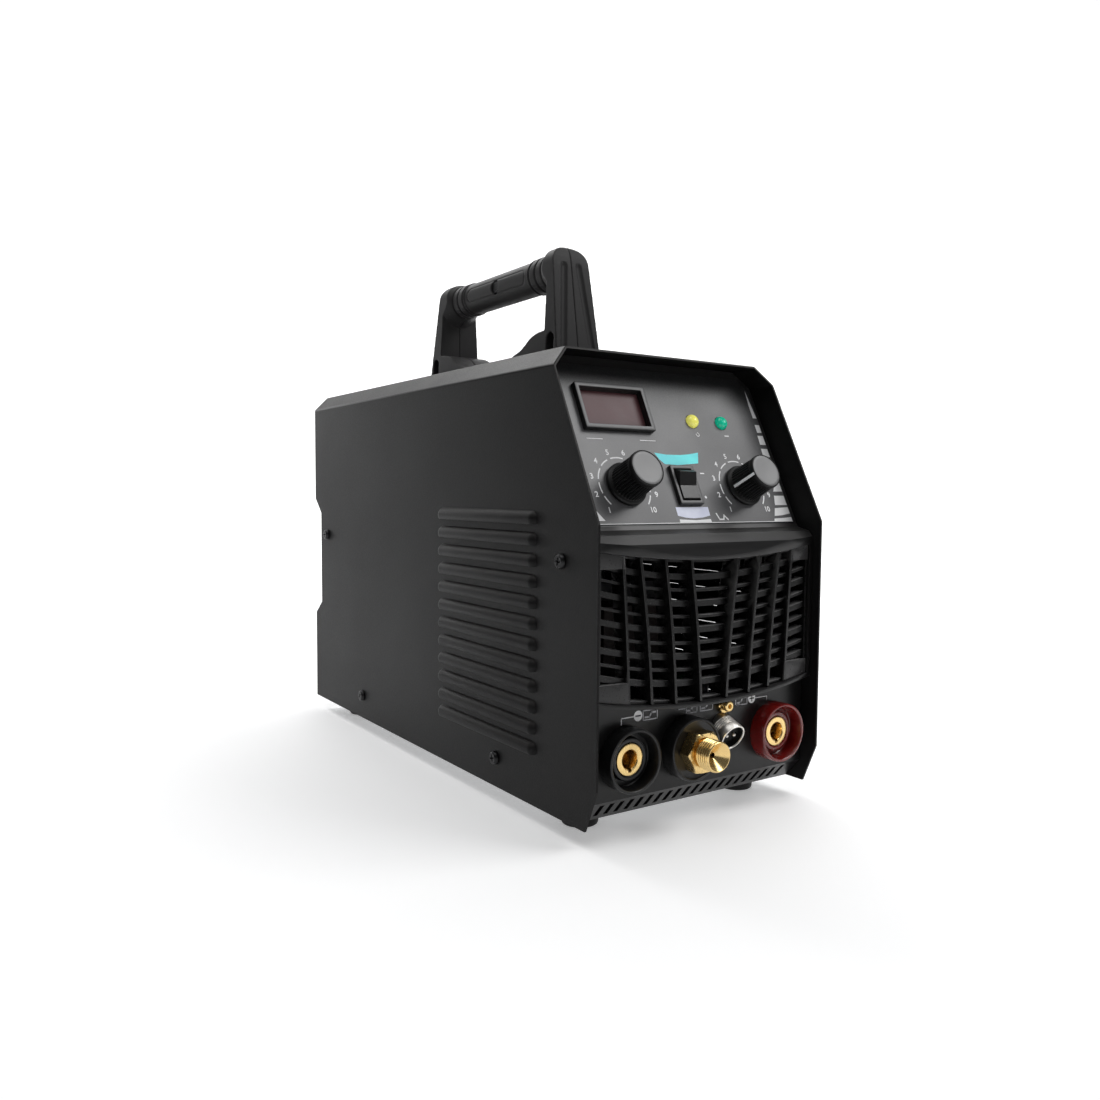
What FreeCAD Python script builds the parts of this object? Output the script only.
"""Portable inverter TIG welding machine: one STEP file for each sub-part.

Millimetres. +Z is up, the control panel faces -Y, and the origin is on the surface that the feet rest on,
under the middle of the machine. "Depth" always means the distance behind the front edge of the cover.
"""
import FreeCAD, Part
import math
import os
from FreeCAD import Placement, Rotation, Vector

# ---- driving dimensions -------------------------------------------------------------------------------
WIDTH = 155.0                 # outside of the cover
LENGTH = 374.5                # front edge to rear edge of the cover
BODY_HEIGHT = 237.0           # cover, without feet and handle
FOOT_HEIGHT = 9.0
SHEET = 1.2                   # steel sheet
WALL = 2.5                    # moulded plastic wall
CHAMFER = 10.5                # bevel along both top edges of the cover
KNEE_HEIGHT = 148.3           # cover bottom to the start of the sloping front edge
SLOPE = 0.491                 # set-back of the sloping front edge for each millimetre of height
LOWER_KNEE = 21.7             # cover bottom to the start of the lower cut-back
CUT_BACK = 9.1
PANEL_RECESS = 16.0           # control face behind the sloping edge, square to it
SOCKET_FACE_DEPTH = 11.0      # flat face that carries the sockets
VENT_BACK_DEPTH = 21.0        # bottom edge of the slotted band
FRONT_REACH = 14.5            # torch connector stands out this far in front of the cover
GAP = 0.4                     # assembly gap between covers

# ---- places that follow from them ---------------------------------------------------------------------
FRONT = -LENGTH / 2
REAR = LENGTH / 2
Z_BOTTOM = FOOT_HEIGHT
Z_TOP = FOOT_HEIGHT + BODY_HEIGHT
Z_KNEE = Z_BOTTOM + KNEE_HEIGHT
HALF = WIDTH / 2
IN_HALF = HALF - SHEET
SLOPE_ANGLE = math.atan(SLOPE)
PANEL_DEPTH = PANEL_RECESS / math.cos(SLOPE_ANGLE)
PANEL_BASE_Z = 155.9          # lower edge of the control label
PANEL_BASE_Y = FRONT + PANEL_DEPTH + (PANEL_BASE_Z - Z_KNEE) * SLOPE
PANEL = Placement(Vector(0, PANEL_BASE_Y, PANEL_BASE_Z),
                  Rotation(Vector(1, 0, 0), 90 - math.degrees(SLOPE_ANGLE)))
BEZEL_HALF = IN_HALF - GAP
BEZEL_TOP = Z_TOP - SHEET - GAP
SOCKET_Z = 41.2
SOCKET_X = 51.8
TORCH_X = -12.0
DIAL_X = 41.4
DIAL_UP = 22.1                # dial centre above the label's lower edge, along the slope
REAR_FACE = REAR - 12.8       # outer face of the rear panel
REAR_PANEL_THICK = 2.5
FAN_Z = 92.0
FAN_SIZE = 92.0
FAN_DEPTH = 25.0
REAR_REACH = FRONT_REACH      # gas inlet and gland end this far behind the cover


# ---- shape helpers ------------------------------------------------------------------------------------
def front_depth(depth):
    """Y of a point this far behind the front edge of the cover."""
    return FRONT + depth


def box(x0, x1, y0, y1, z0, z1):
    x0, x1 = sorted((x0, x1))
    return Part.makeBox(x1 - x0, y1 - y0, z1 - z0, Vector(x0, y0, z0))


def rod(start, direction, radius, length):
    return Part.makeCylinder(radius, length, Vector(*start), Vector(*direction))


def cone(start, direction, radius_0, radius_1, length):
    return Part.makeCone(radius_0, radius_1, length, Vector(*start), Vector(*direction))


def tube(start, direction, outer, inner, length):
    return rod(start, direction, outer, length).cut(rod(start, direction, inner, length))


def ring(centre, direction, radius, wire):
    return Part.makeTorus(radius, wire, Vector(*centre), Vector(*direction))


def flat_face(points):
    corners = [Vector(*p) for p in points]
    return Part.Face(Part.makePolygon(corners + corners[:1]))


def prism_x(outline, x0, x1):
    """Outline of (y, z) points, extruded along X."""
    return flat_face([(x0, y, z) for y, z in outline]).extrude(Vector(x1 - x0, 0, 0))


def prism_y(outline, y0, y1):
    """Outline of (x, z) points, extruded along Y."""
    return flat_face([(x, y0, z) for x, z in outline]).extrude(Vector(0, y1 - y0, 0))


def prism_z(outline, z0, z1):
    """Outline of (x, y) points, extruded along Z."""
    return flat_face([(x, y, z0) for x, y in outline]).extrude(Vector(0, 0, z1 - z0))


def arch_prism_y(half_width, side_low, mid_low, side_high, mid_high, y0, y1):
    """Block between two arcs that dip in the middle, extruded along Y."""
    low_left = Vector(-half_width, y0, side_low)
    low_right = Vector(half_width, y0, side_low)
    high_left = Vector(-half_width, y0, side_high)
    high_right = Vector(half_width, y0, side_high)
    edges = [
        Part.Arc(low_left, Vector(0, y0, mid_low), low_right).toShape(),
        Part.LineSegment(low_right, high_right).toShape(),
        Part.Arc(high_right, Vector(0, y0, mid_high), high_left).toShape(),
        Part.LineSegment(high_left, low_left).toShape(),
    ]
    return Part.Face(Part.Wire(edges)).extrude(Vector(0, y1 - y0, 0))


def join(shapes):
    return shapes[0].multiFuse(shapes[1:]).removeSplitter()


def cut(shape, tools):
    return shape.cut(Part.makeCompound(tools)) if tools else shape


def placed(shape, placement):
    moved = shape.copy()
    moved.Placement = placement.multiply(moved.Placement)
    return moved


def on_panel(shape):
    """From label coordinates (x, up the slope, out of the face) to the machine."""
    return placed(shape, PANEL)


def panel_rod(x, up, out, radius, length):
    """Cylinder square to the control face, in label coordinates."""
    return rod((x, up, out), (0, 0, 1), radius, length)


def save(node, shape):
    shape.exportStep("parts/" + node + ".step")


# ---- sheet metal --------------------------------------------------------------------------------------
LOUVRE_ROWS = 12
LOUVRE_PITCH = 10.88
LOUVRE_TOP_Z = 158.5
LOUVRE_START_Y = -135.5
LOUVRE_END_Y = -27.0
LOUVRE_RADIUS = 4.7
LOUVRE_PROUD = 3.0
SIDE_SCREWS = ((-157.1, 138.5), (161.9, 138.5), (-94.0, 25.3), (94.0, 25.3))
SIDE_SCREW_RADIUS = 2.0
BEND_RADIUS = 2.2             # outside radius of the folds


def hood_outline(half, top, chamfer, bottom):
    """Arch of the cover, seen from the front."""
    return [(-half, bottom), (-half, top - chamfer), (-half + chamfer, top),
            (half - chamfer, top), (half, top - chamfer), (half, bottom)]


def capsule_y(x, z, radius, y0, y1):
    """Bar with rounded ends along Y."""
    return join([rod((x, y0 + radius, z), (0, 1, 0), radius, y1 - y0 - 2 * radius),
                 Part.makeSphere(radius, Vector(x, y0 + radius, z)),
                 Part.makeSphere(radius, Vector(x, y1 - radius, z))])


def louvre(side, z):
    """Pressed louvre: a rounded hood outside the sheet that is open along its lower lip."""
    centre_x = side * (HALF - LOUVRE_RADIUS + LOUVRE_PROUD)
    hood = capsule_y(centre_x, z, LOUVRE_RADIUS, LOUVRE_START_Y, LOUVRE_END_Y)
    inner_radius = LOUVRE_RADIUS - 1.0
    hollow = capsule_y(centre_x, z, inner_radius, LOUVRE_START_Y + 1, LOUVRE_END_Y - 1)
    lip_z = z - 0.55 * LOUVRE_RADIUS
    above_lip = box(-HALF - 10, HALF + 10, LOUVRE_START_Y - 5, LOUVRE_END_Y + 5, lip_z, z + 10)
    x_in, x_out = sorted((side * (IN_HALF + 0.1), side * (HALF + 10)))
    outside = box(x_in, x_out, LOUVRE_START_Y - 5, LOUVRE_END_Y + 5, z - 10, z + 10)
    x_deep, x_skin = sorted((side * (IN_HALF - 5), side * HALF))
    through = box(x_deep, x_skin, LOUVRE_START_Y + 5, LOUVRE_END_Y - 5, lip_z, z + 0.6 * LOUVRE_RADIUS)
    skin = hood.cut(hollow).common(above_lip).common(outside)
    return skin, through


def bent(prism, radius, bottom):
    """Prism along Y with its long edges rounded, all but the ones at the bottom."""
    bends = [edge for edge in prism.Edges if abs(edge.tangentAt(edge.FirstParameter).y) > 0.99
             and edge.CenterOfMass.z > bottom + 1]
    return prism.makeFillet(radius, bends)


def top_cover():
    outer = prism_y(hood_outline(HALF, Z_TOP, CHAMFER, Z_BOTTOM), FRONT, REAR)
    inner_outline = hood_outline(IN_HALF, Z_TOP - SHEET, CHAMFER - 0.5, Z_BOTTOM - 1)
    inner = prism_y(inner_outline, FRONT - 1, REAR + 1)
    shell = bent(outer, BEND_RADIUS, Z_BOTTOM).cut(bent(inner, BEND_RADIUS - SHEET, Z_BOTTOM - 1))
    set_back = (Z_TOP + 5 - Z_KNEE) * SLOPE
    sloping_cut = prism_x([(FRONT - 5, Z_KNEE), (FRONT, Z_KNEE), (FRONT + set_back, Z_TOP + 5),
                           (FRONT - 5, Z_TOP + 5)], -HALF - 5, HALF + 5)
    lower_cut = prism_x([(FRONT - 5, Z_BOTTOM - 5), (FRONT + CUT_BACK * 1.23, Z_BOTTOM - 5),
                         (FRONT, Z_BOTTOM + LOWER_KNEE), (FRONT - 5, Z_BOTTOM + LOWER_KNEE)],
                        -HALF - 5, HALF + 5)
    rear_notch = prism_x([(REAR + 5, 170.0), (REAR, 166.4), (REAR - 12.3, 154.9), (REAR - 12.3, 85.3),
                          (REAR, 75.8), (REAR + 5, 72.0)], -HALF - 5, HALF + 5)
    shell = cut(shell, [sloping_cut, lower_cut, rear_notch])
    hoods = []
    openings = []
    for side in (-1, 1):
        for row in range(LOUVRE_ROWS):
            hood, opening = louvre(side, LOUVRE_TOP_Z - row * LOUVRE_PITCH)
            hoods.append(hood)
            openings.append(opening)
    shell = cut(shell, openings)
    shell = shell.multiFuse(hoods)
    holes = []
    for y, z in SIDE_SCREWS:
        holes.append(rod((-HALF - 1, y, z), (1, 0, 0), SIDE_SCREW_RADIUS + 0.2, WIDTH + 2))
    for x, y in HANDLE_SCREWS:
        holes.append(rod((x, y, Z_TOP - 5), (0, 0, 1), HANDLE_SCREW_RADIUS + 0.2, 10))
    return cut(shell, holes).removeSplitter()


BASE_FRONT_DEPTH = 23.0
BASE_FLANGE_HEIGHT = 26.0
FOOT_X = 56.3
FOOT_Y = (-145.0, 145.0)
FOOT_RADIUS = 10.5


def base_pan():
    """Bottom plate with two upturned side flanges and rows of air slots."""
    half = IN_HALF - 0.1
    front = front_depth(BASE_FRONT_DEPTH)
    plate = box(-half, half, front, REAR_FACE, Z_BOTTOM, Z_BOTTOM + SHEET)
    flange_z = Z_BOTTOM + BASE_FLANGE_HEIGHT
    left = box(-half, -half + SHEET, -146.0, 146.0, Z_BOTTOM, flange_z)
    right = box(half - SHEET, half, -146.0, 146.0, Z_BOTTOM, flange_z)
    holes = [rod((-HALF, y, z), (1, 0, 0), SIDE_SCREW_RADIUS, WIDTH) for y, z in SIDE_SCREWS[2:]]
    holes += [rod((x, y, 0), (0, 0, 1), 2.1, 20) for x in (-FOOT_X, FOOT_X) for y in FOOT_Y]
    holes += [rod((x, y, 0), (0, 0, 1), 1.6, 20) for x, y in STANDOFFS]
    for row in range(5):
        for x in (-36.0, 36.0):
            y = -60.0 + row * 30.0
            holes.append(box(x - 16, x + 16, y - 2, y + 2, 0, 20))
    return cut(join([plate, left, right]), holes)


# ---- moulded front panel ------------------------------------------------------------------------------
BULGE = 3.5                   # the brow and the grille bow forward by this much in the middle
BULGE_RADIUS = (BEZEL_HALF ** 2 + BULGE ** 2) / (2 * BULGE)
BROW_FRONT_DEPTH = 1.5
WINDOW_HALF = 73.0
WINDOW_LOW = (72.0, 65.5)     # lower edge of the grille window at the sides and in the middle
WINDOW_HIGH = (144.2, 138.6)  # upper edge, the same way
LIP = 1.8                     # rim under the grille window
VENT_SLOTS = 21
VENT_PITCH = 6.4
VENT_WIDTH = 2.8
VENT_LOW_Z = 11.6
VENT_HIGH_Z = 18.6
BEZEL_SIDE_DEPTH = 38.0
METER = (-34.4, 67.0, 46.0, 27.0)       # centre x, centre up the slope, width, height
METER_BODY = (42.0, 22.4)
LAMPS = (19.6, 41.5)
LAMP_UP = 62.3
SWITCH = (-0.8, 22.2, 16.6, 22.8)
SOCKET_HOLE = 12.0
TRIGGER_BASE = (14.2, SOCKET_FACE_DEPTH, 47.6)
TRIGGER_TILT = math.radians(25.0)       # the two-pin socket points a little downwards
TRIGGER_AXIS = (0, -math.cos(TRIGGER_TILT), -math.sin(TRIGGER_TILT))
OUTLET = (14.3, 59.8)


def front_profile(shift, top, bottom):
    """Side view of the front panel's outer skin, from the top down to the slotted band."""
    slope_top = PANEL_DEPTH + (top - Z_KNEE) * SLOPE
    return [(front_depth(slope_top + shift), top),
            (front_depth(17.05 + shift), 155.6),
            (front_depth(15.8 + shift), 153.8),
            (front_depth(8.0 + shift), 151.8),
            (front_depth(3.4 + shift), 147.2),
            (front_depth(BROW_FRONT_DEPTH + shift), 140.5),
            (front_depth(BROW_FRONT_DEPTH + shift), 20.5),
            (front_depth(SOCKET_FACE_DEPTH), 20.5),
            (front_depth(VENT_BACK_DEPTH), bottom)]


def vent_slots():
    """Slots that run straight down the slotted band."""
    slots = []
    for index in range(VENT_SLOTS):
        x = (index - (VENT_SLOTS - 1) / 2) * VENT_PITCH
        slots.append(box(x - VENT_WIDTH / 2, x + VENT_WIDTH / 2, front_depth(5), front_depth(32),
                         VENT_LOW_Z, VENT_HIGH_Z))
    return slots


def panel_openings(margin):
    """Cut-outs for everything that passes through the sloping control face."""
    half_w, half_h = METER_BODY[0] / 2 + margin, METER_BODY[1] / 2 + margin
    holes = [Part.makeBox(2 * half_w, 2 * half_h, 20, Vector(METER[0] - half_w, METER[1] - half_h, -10))]
    for lamp_x in LAMPS:
        holes.append(panel_rod(lamp_x, LAMP_UP, -10, 3.9 + margin, 20))
    for dial_x in (-DIAL_X, DIAL_X):
        holes.append(panel_rod(dial_x, DIAL_UP, -10, 3.6 + margin, 20))
    half_w, half_h = SWITCH[2] / 2 - 1.4 + margin, SWITCH[3] / 2 - 1.2 + margin
    corner = Vector(SWITCH[0] - half_w, SWITCH[1] - half_h, -10)
    holes.append(Part.makeBox(2 * half_w, 2 * half_h, 20, corner))
    return [on_panel(hole) for hole in holes]


def front_bezel():
    back_top = front_depth(PANEL_DEPTH + (BEZEL_TOP - Z_KNEE) * SLOPE + 14)
    outline = front_profile(0, BEZEL_TOP, Z_BOTTOM + 0.2)
    outline += [(front_depth(BEZEL_SIDE_DEPTH), Z_BOTTOM + 0.2), (front_depth(BEZEL_SIDE_DEPTH), Z_KNEE),
                (back_top, BEZEL_TOP)]
    block = prism_x(outline, -BEZEL_HALF, BEZEL_HALF)
    hood = prism_y(hood_outline(BEZEL_HALF, BEZEL_TOP, CHAMFER - 0.7, 0), FRONT, FRONT + 120)
    block = block.common(hood)
    bulge_axis = (0, front_depth(BROW_FRONT_DEPTH) + BULGE_RADIUS, 0)
    block = block.common(rod(bulge_axis, (0, 0, 1), BULGE_RADIUS, 300))
    cavity = [(back_top + 30, BEZEL_TOP - WALL),
              (front_depth(PANEL_DEPTH + 2.8 + 84.6 * SLOPE), BEZEL_TOP - WALL),
              (front_depth(18.3), 151.4), (front_depth(10.0), 149.0), (front_depth(7.6), 145.8),
              (front_depth(7.6), 76.0), (front_depth(13.5), 76.0), (front_depth(13.5), 21.6),
              (front_depth(24.4), Z_BOTTOM - 0.6), (back_top + 30, Z_BOTTOM - 0.6)]
    shell = block.cut(prism_x(cavity, -BEZEL_HALF + WALL, BEZEL_HALF - WALL))
    low_side, low_mid = WINDOW_LOW
    window = arch_prism_y(WINDOW_HALF, low_side, low_mid, WINDOW_HIGH[0], WINDOW_HIGH[1],
                          front_depth(-10), front_depth(20))
    base_clear = box(-HALF, HALF, front_depth(BASE_FRONT_DEPTH - 0.2), front_depth(60), 0,
                     Z_BOTTOM + SHEET + 0.2)
    trigger = Vector(TRIGGER_BASE[0], front_depth(TRIGGER_BASE[1]), TRIGGER_BASE[2])
    holes = []
    for x in (-SOCKET_X, SOCKET_X, TORCH_X):
        holes.append(rod((x, FRONT - 5, SOCKET_Z), (0, 1, 0), SOCKET_HOLE, 25))
    holes.append(rod(trigger - 10 * Vector(*TRIGGER_AXIS), TRIGGER_AXIS, 7.6, 20))
    holes.append(rod((OUTLET[0], FRONT - 5, OUTLET[1]), (0, 1, 0), 2.6, 25))
    holes.append(rod((-HALF, SIDE_SCREWS[0][0], SIDE_SCREWS[0][1]), (1, 0, 0), SIDE_SCREW_RADIUS, WIDTH))
    tools = [socket_recess_block(), window, base_clear] + holes + vent_slots() + panel_openings(0.2)
    return cut(shell, tools)


def socket_recess_block():
    """Space in front of the socket face, up to the curved rim under the grille."""
    half = BEZEL_HALF + 1
    y0 = front_depth(-10)
    top_side = WINDOW_LOW[0] - LIP
    top_mid = WINDOW_LOW[1] - LIP
    left_low, right_low = Vector(-half, y0, 20.5), Vector(half, y0, 20.5)
    left_high, right_high = Vector(-half, y0, top_side), Vector(half, y0, top_side)
    edges = [Part.LineSegment(left_low, right_low).toShape(),
             Part.LineSegment(right_low, right_high).toShape(),
             Part.Arc(right_high, Vector(0, y0, top_mid), left_high).toShape(),
             Part.LineSegment(left_high, left_low).toShape()]
    return Part.Face(Part.Wire(edges)).extrude(Vector(0, SOCKET_FACE_DEPTH + 10, 0))


# ---- grille -------------------------------------------------------------------------------------------
GRILLE_GAP = 0.25
BAR_TOPS = (17.7, 34.2, 49.4, 59.3)     # half spacing of the bars at the top of the window
BAR_FEET = (8.9, 25.4, 40.6, 54.6)      # and at its foot
BAR_THICK = 1.5
SLAT_ROWS = 9
SLAT_PITCH = 6.8
SLAT_TOP_Z = 129.4
PAD_PLACES = ((59.7, 72.75, 135.8, 150.0), (55.3, 72.75, 60.0, 80.0))
RIM_SETBACK = 4.5             # front edge of the grille rim behind the window edge


def slat(z, height, depth_0, depth_1):
    """Air slat that dips in the middle, following the curve of the window."""
    return arch_prism_y(WINDOW_HALF, z - height / 2 + 9.0, z - height / 2, z + height / 2 + 9.0,
                        z + height / 2, front_depth(depth_0), front_depth(depth_1))


def grille_bar(top_x, foot_x):
    """Upright bar, curved so that the middle bays widen towards the top."""
    foot_z, top_z = WINDOW_LOW[1] - 1, WINDOW_HIGH[0] + 1
    mid_x = foot_x + 0.36 * (top_x - foot_x)
    y0 = front_depth(-3)
    edges = []
    for shift in (0, BAR_THICK):
        points = [Vector(foot_x + shift, y0, foot_z), Vector(mid_x + shift, y0, (foot_z + top_z) / 2),
                  Vector(top_x + shift, y0, top_z)]
        edges.append(Part.Arc(*points).toShape())
    low = Part.LineSegment(edges[0].Vertexes[0].Point, edges[1].Vertexes[0].Point).toShape()
    high = Part.LineSegment(edges[0].Vertexes[-1].Point, edges[1].Vertexes[-1].Point).toShape()
    outline = Part.Wire(Part.__sortEdges__([edges[0], high, edges[1], low]))
    return Part.Face(outline).extrude(Vector(0, 17, 0))


def front_grille():
    inset = WINDOW_HALF - GRILLE_GAP
    low = (WINDOW_LOW[0] + GRILLE_GAP, WINDOW_LOW[1] + GRILLE_GAP)
    high = (WINDOW_HIGH[0] - GRILLE_GAP, WINDOW_HIGH[1] - GRILLE_GAP)
    envelope = arch_prism_y(inset, low[0], low[1], high[0], high[1], front_depth(-3), front_depth(14))
    axis = (0, front_depth(BROW_FRONT_DEPTH + 0.9) + BULGE_RADIUS, 0)
    envelope = envelope.common(rod(axis, (0, 0, 1), BULGE_RADIUS, 300))
    rim_gap = arch_prism_y(inset - 1.6, low[0] + 1.2, low[1] + 1.2, high[0] - 1.2, high[1] - 1.2,
                           front_depth(-4), front_depth(15))
    rim_zone = box(-HALF, HALF, front_depth(BROW_FRONT_DEPTH + RIM_SETBACK), front_depth(20), 0, 200)
    pieces = [envelope.cut(rim_gap).common(rim_zone)]
    for top_x, foot_x in zip(BAR_TOPS, BAR_FEET):
        bar = grille_bar(top_x - BAR_THICK / 2, foot_x - BAR_THICK / 2)
        pieces.append(bar.common(envelope))
        pieces.append(bar.mirror(Vector(0, 0, 0), Vector(1, 0, 0)).common(envelope))
    for row in range(SLAT_ROWS):
        height = 3.0 if row % 2 == 0 else 1.4
        blade = slat(SLAT_TOP_Z - row * SLAT_PITCH, height, 7.0, 13.0)
        pieces.append(blade.common(envelope))
    for x0, x1, z0, z1 in PAD_PLACES:
        for low_x, high_x in ((x0, x1), (-x1, -x0)):
            pad = box(low_x, high_x, front_depth(-3), front_depth(13), z0, z1)
            pieces.append(pad.common(envelope))
    return join(pieces)


# ---- control face -------------------------------------------------------------------------------------
LABEL_THICK = 0.5
LABEL_HALF = 73.0
LABEL_TOP = 93.0


def control_label():
    outline = [(-LABEL_HALF, 0.6), (LABEL_HALF, 0.6), (LABEL_HALF, LABEL_TOP - 8),
               (LABEL_HALF - 7, LABEL_TOP), (-LABEL_HALF + 7, LABEL_TOP), (-LABEL_HALF, LABEL_TOP - 8)]
    sheet = prism_z(outline, 0.02, LABEL_THICK)
    return cut(on_panel(sheet), panel_openings(0.3))


def meter_bezel():
    """Frame that snaps into the control face and holds the tinted window."""
    x, up, width, height = METER
    frame = Part.makeBox(width, height, 3.0, Vector(x - width / 2, up - height / 2, 0.55))
    frame = frame.makeChamfer(0.8, [e for e in frame.Edges if e.CenterOfMass.z > 3.5])
    skirt = Part.makeBox(METER_BODY[0], METER_BODY[1], 12,
                         Vector(x - METER_BODY[0] / 2, up - METER_BODY[1] / 2, -11.4))
    inner = Part.makeBox(METER_BODY[0] - 2.4, METER_BODY[1] - 2.4, 30,
                         Vector(x - METER_BODY[0] / 2 + 1.2, up - METER_BODY[1] / 2 + 1.2, -20))
    seat = Part.makeBox(width - 3.6, height - 3.6, 4,
                        Vector(x - width / 2 + 1.8, up - height / 2 + 1.8, 1.6))
    return on_panel(cut(join([frame, skirt]), [inner, seat]))


def meter_window():
    x, up, width, height = METER
    half_w, half_h = width / 2 - 1.9, height / 2 - 1.9
    return on_panel(Part.makeBox(2 * half_w, 2 * half_h, 1.0, Vector(x - half_w, up - half_h, 1.65)))


def meter_board():
    """Display board with three digit blocks behind the window."""
    x, up = METER[0], METER[1]
    board = Part.makeBox(38.0, 18.6, 1.6, Vector(x - 19, up - 9.3, -9.0))
    digits = [Part.makeBox(10.4, 15.0, 7.0, Vector(x - 17 + 11.7 * i, up - 7.5, -7.4)) for i in range(3)]
    return on_panel(join([board] + digits))


def lamp(x):
    """Eight-millimetre lamp: flange and dome."""
    flange = panel_rod(x, LAMP_UP, LABEL_THICK + 0.05, 4.6, 1.0)
    barrel = panel_rod(x, LAMP_UP, -6, 3.8, 7.6)
    dome = Part.makeSphere(3.8, Vector(x, LAMP_UP, 1.6)).cut(
        Part.makeBox(20, 20, 10, Vector(x - 10, LAMP_UP - 10, -8.4)))
    return on_panel(join([flange, barrel, dome]))


KNOB_SKIRT = 12.0
KNOB_RADIUS = 10.0
KNOB_TIP_RADIUS = 9.3
KNOB_FOOT = 1.2
KNOB_HEIGHT = 19.6
SHAFT_RADIUS = 3.0
KNOB_FLUTES = 36
FLUTE_HALF = 1.3
FLUTE_LOW = 4.2
FLUTE_HIGH = 18.2


def knob(x, pointer_deg):
    """Dial knob with a skirt, fine flutes and a raised pointer rib."""
    skirt = panel_rod(0, 0, KNOB_FOOT, KNOB_SKIRT, 2.6)
    skirt = skirt.makeChamfer(0.9, [e for e in skirt.Edges if e.CenterOfMass.z > KNOB_FOOT + 2])
    body = cone((0, 0, KNOB_FOOT), (0, 0, 1), KNOB_RADIUS, KNOB_TIP_RADIUS, KNOB_HEIGHT)
    floor = KNOB_TIP_RADIUS - 0.1
    profile = [(-FLUTE_HALF, floor + 2.0), (0, floor - 0.1), (FLUTE_HALF, floor + 2.0)]
    groove = prism_z(profile, FLUTE_LOW, FLUTE_HIGH)
    grooves = []
    for index in range(KNOB_FLUTES):
        turn = Rotation(Vector(0, 0, 1), (index + 0.5) * 360.0 / KNOB_FLUTES)
        grooves.append(placed(groove, Placement(Vector(0, 0, 0), turn)))
    body = cut(body, grooves)
    pointer = Part.makeBox(1.2, 1.3, 17.0, Vector(-0.6, KNOB_TIP_RADIUS - 0.3, KNOB_FOOT + 1))
    solid = join([skirt, body, pointer])
    nut_room = panel_rod(0, 0, 0, 7.0, 5.0)
    shaft_bore = panel_rod(0, 0, 0, SHAFT_RADIUS + 0.02, 15.2)
    cap_seat = panel_rod(0, 0, KNOB_FOOT + KNOB_HEIGHT - 1.2, 8.3, 5)
    solid = cut(solid, [nut_room, shaft_bore, cap_seat])
    return on_panel(placed(solid, dial_placement(x, pointer_deg)))


def dial_placement(x, pointer_deg):
    """Dial position, turned clockwise so that its pointer leaves the top by this angle."""
    return Placement(Vector(x, DIAL_UP, 0), Rotation(Vector(0, 0, 1), -pointer_deg))


def knob_cap(x):
    return on_panel(panel_rod(x, DIAL_UP, KNOB_FOOT + KNOB_HEIGHT - 1.2, 8.25, 1.1))


def knob_shaft(x, pointer_deg):
    """Round shaft of the potentiometer."""
    shaft = panel_rod(0, 0, -9.0, SHAFT_RADIUS, 24.0)
    return on_panel(placed(shaft, dial_placement(x, pointer_deg)))


def potentiometer(x):
    """Can, threaded bush and nut: the bush clamps the control face."""
    can = panel_rod(x, DIAL_UP, -13.5, 8.5, 9.3)
    bush = panel_rod(x, DIAL_UP, -4.4, 3.55, 8.6)
    nut = panel_rod(x, DIAL_UP, LABEL_THICK + 0.05, 6.0, 2.2)
    bore = panel_rod(x, DIAL_UP, -9.1, SHAFT_RADIUS + 0.06, 30)
    tags = []
    for dx in (-5, 0, 5):
        tags.append(Part.makeBox(1.6, 6.0, 0.8, Vector(x - 0.8 + dx, DIAL_UP - 13.5, -10.5)))
    return on_panel(join([can, bush, nut] + tags).cut(bore))


# ---- rocker switches ----------------------------------------------------------------------------------
ROCKER_TILT = 12.0


def rocker_frame(width, height, depth):
    """Switch housing around the origin: flange on z = 0, rocker pivot along X at z = -1.5."""
    flange = Part.makeBox(width, height, 2.2, Vector(-width / 2, -height / 2, 0.05))
    flange = flange.makeChamfer(0.7, [e for e in flange.Edges if e.CenterOfMass.z > 2])
    body_w, body_h = width - 3.0, height - 2.6
    body = Part.makeBox(body_w, body_h, depth, Vector(-body_w / 2, -body_h / 2, -depth + 0.1))
    well_w = width - 4.6
    swing = (height - 4.2) / 2
    well = rod((-well_w / 2, 0, -1.5), (1, 0, 0), swing + 0.25, well_w)
    mouth = Part.makeBox(well_w, 2 * swing + 0.5, 10, Vector(-well_w / 2, -swing - 0.25, -1.5))
    pin_holes = rod((-width, 0, -1.5), (1, 0, 0), 1.05, 2 * width)
    tabs = []
    for y in (-height / 4, height / 4):
        tabs.append(Part.makeBox(4.8, 0.8, 8.0, Vector(-2.4, y, -depth - 7.9)))
    return cut(join([flange, body] + tabs), [well, mouth, pin_holes])


def rocker(width, height, tilt):
    """Rocker with two finger faces that meet in a shallow valley, on stub pivots."""
    half_w = (width - 4.6) / 2 - 0.2
    swing = (height - 4.2) / 2
    drum = rod((-half_w, 0, 0), (1, 0, 0), swing, 2 * half_w)
    rise = 5.0
    top = prism_x([(-swing - 1, -2.5), (swing + 1, -2.5), (swing + 1, rise + 1.6), (0, rise - 0.6),
                   (-swing - 1, rise + 1.6)], -half_w - 1, half_w + 1)
    pivots = rod((-half_w - 0.9, 0, 0), (1, 0, 0), 1.0, 2 * half_w + 1.8)
    solid = join([drum.common(top), pivots])
    return placed(solid, Placement(Vector(0, 0, -1.5), Rotation(Vector(1, 0, 0), tilt)))


FRONT_SWITCH = PANEL.multiply(Placement(Vector(SWITCH[0], SWITCH[1], LABEL_THICK), Rotation()))
REAR_SWITCH = Placement(Vector(38.0, REAR_FACE, 190.0), Rotation(Vector(1, 0, 0), -90))
REAR_SWITCH_SIZE = (25.0, 31.0)


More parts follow.
